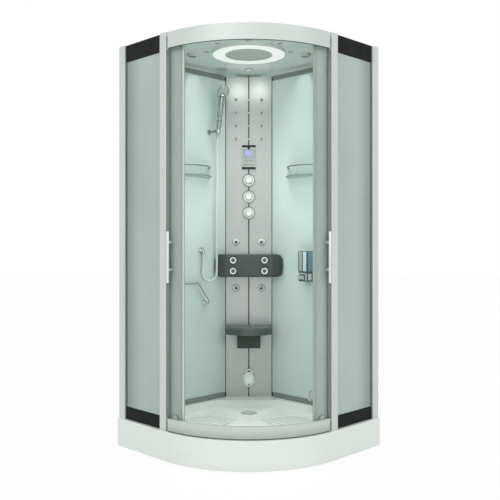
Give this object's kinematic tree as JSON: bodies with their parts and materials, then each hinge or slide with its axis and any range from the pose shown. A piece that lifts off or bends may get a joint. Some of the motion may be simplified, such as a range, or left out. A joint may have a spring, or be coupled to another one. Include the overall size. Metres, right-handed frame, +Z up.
{
  "type": "steam shower cabin",
  "caption": "Quarter-round corner steam shower cabin with sliding curved glass doors, a brushed column, a tip-up seat, a rain shower and a handset on a low tray.",
  "frame": {"origin": "floor level, under the middle of the plan's bounding box", "axes": "+Z up; -Y is the curved front with the doors; the room corner lies on +Y and the two walls run at 45 degrees to X"},
  "size_m": [1.4142, 1.1656, 2.15],
  "materials": {
    "acrylic_white": "glossy white sanitary acrylic",
    "aluminium_satin": "satin anodised extrusion",
    "glass_clear": "clear safety glass",
    "glass_back": "back-painted pale green glass",
    "cover_black": "dark satin cover strip",
    "trim_grey": "dark grey satin profile",
    "column_steel": "vertically brushed sheet",
    "seal_dark": "dark elastomer",
    "seal_clear": "translucent seal and nylon carriers",
    "chrome": "polished chrome",
    "plastic_white": "glossy white moulding",
    "plastic_grey": "satin grey moulding",
    "plastic_dark": "dark grey satin moulding",
    "roof_grey": "satin pale grey moulded ceiling",
    "display_glass": "lit display window",
    "key_grey": "soft-touch key",
    "lamp_glass": "frosted lamp lens",
    "steel_zinc": "zinc-plated steel",
    "brass_body": "cast brass with chrome-plated threads",
    "hose_chrome": "spiral metal hose"
  },
  "bodies": {
    "cabin": {"shower_tray": "acrylic_white", "tray_frame": "steel_zinc", "tray_feet": "plastic_dark", "drain_waste": "plastic_grey", "outer_profiles": "aluminium_satin", "middle_profiles": "aluminium_satin", "side_panels": "glass_clear", "side_bands": "cover_black", "back_walls": "glass_back", "wall_profiles": "trim_grey", "bottom_rail": "aluminium_satin", "top_rail": "aluminium_satin", "roof_panel": "roof_grey", "rain_shower_ring": "plastic_white", "rain_shower_head": "plastic_grey", "ceiling_lights": "lamp_glass", "ceiling_vents": "plastic_grey", "column_panels": "column_steel", "column_seals": "seal_dark", "small_body_jets": "chrome", "column_roses": "chrome", "control_panel": "plastic_grey", "control_display": "display_glass", "valve_block": "brass_body", "steam_generator": "steel_zinc", "steam_outlet": "plastic_white", "backrest": "plastic_dark", "backrest_jets": "plastic_white", "seat_bracket": "plastic_dark", "handset_holder": "chrome", "shower_hose": "hose_chrome", "hose_elbow": "chrome", "shelves": "chrome", "wall_bars": "chrome", "soap_dispenser": "plastic_grey"},
    "left_door": {"left_door_glass": "glass_clear", "left_door_handle": "chrome", "left_door_fittings": "seal_clear"},
    "right_door": {"right_door_glass": "glass_clear", "right_door_handle": "chrome", "right_door_fittings": "seal_clear"},
    "left_front_roller": {"left_front_roller": "plastic_white"},
    "left_rear_roller": {"left_rear_roller": "plastic_white"},
    "right_front_roller": {"right_front_roller": "plastic_white"},
    "right_rear_roller": {"right_rear_roller": "plastic_white"},
    "drain_cover": {"drain_cover": "chrome"},
    "fan_impeller": {"fan_impeller": "plastic_dark"},
    "upper_left_jet": {"upper_left_jet": "chrome"},
    "upper_right_jet": {"upper_right_jet": "chrome"},
    "lower_left_jet": {"lower_left_jet": "chrome"},
    "lower_right_jet": {"lower_right_jet": "chrome"},
    "power_button": {"power_button": "key_grey"},
    "steam_button": {"steam_button": "key_grey"},
    "light_button": {"light_button": "key_grey"},
    "diverter_knob": {"diverter_knob": "chrome"},
    "flow_knob": {"flow_knob": "chrome"},
    "temperature_knob": {"temperature_knob": "chrome"},
    "seat": {"seat": "plastic_dark"},
    "handset": {"handset": "chrome"},
    "soap_lever": {"soap_lever": "chrome"}
  },
  "joints": [
    {"name": "left_door_slide", "type": "hinge", "parent": "cabin", "child": "left_door", "pos_m": [0, 0.01716, 1.1], "axis": [0, 0, 1], "range_deg": [0, 34.95]},
    {"name": "left_front_roller_turn", "type": "hinge", "parent": "left_door", "child": "left_front_roller", "pos_m": [-0.36552, -0.41538, 2.108], "axis": [-0.6455, -0.7638, 0], "range_deg": [-1724, 0]},
    {"name": "left_rear_roller_turn", "type": "hinge", "parent": "left_door", "child": "left_rear_roller", "pos_m": [-0.54751, -0.1275, 2.108], "axis": [-0.9668, -0.2554, 0], "range_deg": [-1724, 0]},
    {"name": "right_door_slide", "type": "hinge", "parent": "cabin", "child": "right_door", "pos_m": [0, 0.01716, 1.1], "axis": [0, 0, -1], "range_deg": [0, 34.95]},
    {"name": "right_front_roller_turn", "type": "hinge", "parent": "right_door", "child": "right_front_roller", "pos_m": [0.36552, -0.41538, 2.108], "axis": [0.6455, -0.7638, 0], "range_deg": [0, 1724]},
    {"name": "right_rear_roller_turn", "type": "hinge", "parent": "right_door", "child": "right_rear_roller", "pos_m": [0.54751, -0.1275, 2.108], "axis": [0.9668, -0.2554, 0], "range_deg": [0, 1724]},
    {"name": "diverter_turn", "type": "hinge", "parent": "cabin", "child": "diverter_knob", "pos_m": [0, 0.37584, 1.476], "axis": [0, -1, 0], "range_deg": [0, 270]},
    {"name": "flow_turn", "type": "hinge", "parent": "cabin", "child": "flow_knob", "pos_m": [0, 0.37584, 1.376], "axis": [0, -1, 0], "range_deg": [0, 90]},
    {"name": "temperature_turn", "type": "hinge", "parent": "cabin", "child": "temperature_knob", "pos_m": [0, 0.37584, 1.276], "axis": [0, -1, 0], "range_deg": [-60, 180]},
    {"name": "upper_left_jet_tilt", "type": "hinge", "parent": "cabin", "child": "upper_left_jet", "pos_m": [-0.079, 0.39054, 1.099], "axis": [1, 0, 0], "range_deg": [-20, 20]},
    {"name": "upper_right_jet_tilt", "type": "hinge", "parent": "cabin", "child": "upper_right_jet", "pos_m": [0.079, 0.39054, 1.099], "axis": [1, 0, 0], "range_deg": [-20, 20]},
    {"name": "lower_left_jet_tilt", "type": "hinge", "parent": "cabin", "child": "lower_left_jet", "pos_m": [-0.079, 0.39054, 0.818], "axis": [1, 0, 0], "range_deg": [-20, 20]},
    {"name": "lower_right_jet_tilt", "type": "hinge", "parent": "cabin", "child": "lower_right_jet", "pos_m": [0.079, 0.39054, 0.818], "axis": [1, 0, 0], "range_deg": [-20, 20]},
    {"name": "power_press", "type": "slide", "parent": "cabin", "child": "power_button", "axis": [0, 1, 0], "range_m": [0, 0.0015], "stiffness_N_per_m": 400},
    {"name": "steam_press", "type": "slide", "parent": "cabin", "child": "steam_button", "axis": [0, 1, 0], "range_m": [0, 0.0015], "stiffness_N_per_m": 400},
    {"name": "light_press", "type": "slide", "parent": "cabin", "child": "light_button", "axis": [0, 1, 0], "range_m": [0, 0.0015], "stiffness_N_per_m": 400},
    {"name": "seat_fold", "type": "hinge", "parent": "cabin", "child": "seat", "pos_m": [0, 0.37084, 0.57], "axis": [-1, 0, 0], "range_deg": [0, 90]},
    {"name": "drain_cover_lift", "type": "slide", "parent": "cabin", "child": "drain_cover", "axis": [0, 0, 1], "range_m": [0, 0.06]},
    {"name": "fan_spin", "type": "hinge", "parent": "cabin", "child": "fan_impeller", "pos_m": [0.312, -0.05216, 2.125], "axis": [0, 0, 1], "continuous": true},
    {"name": "handset_tilt", "type": "hinge", "parent": "cabin", "child": "handset", "pos_m": [-0.18385, 0.28869, 1.757], "axis": [-0.7071, -0.7071, 0], "range_deg": [-15, 15], "deforming": ["shower_hose"]},
    {"name": "soap_push", "type": "slide", "parent": "cabin", "child": "soap_lever", "axis": [0.7071, 0.7071, 0], "range_m": [0, 0.008], "stiffness_N_per_m": 300}
  ],
  "couplings": [
    {"joint": "left_front_roller_turn", "follows": "left_door_slide", "ratio": -49.243},
    {"joint": "left_rear_roller_turn", "follows": "left_door_slide", "ratio": -49.243},
    {"joint": "right_front_roller_turn", "follows": "right_door_slide", "ratio": 49.243},
    {"joint": "right_rear_roller_turn", "follows": "right_door_slide", "ratio": 49.243}
  ]
}
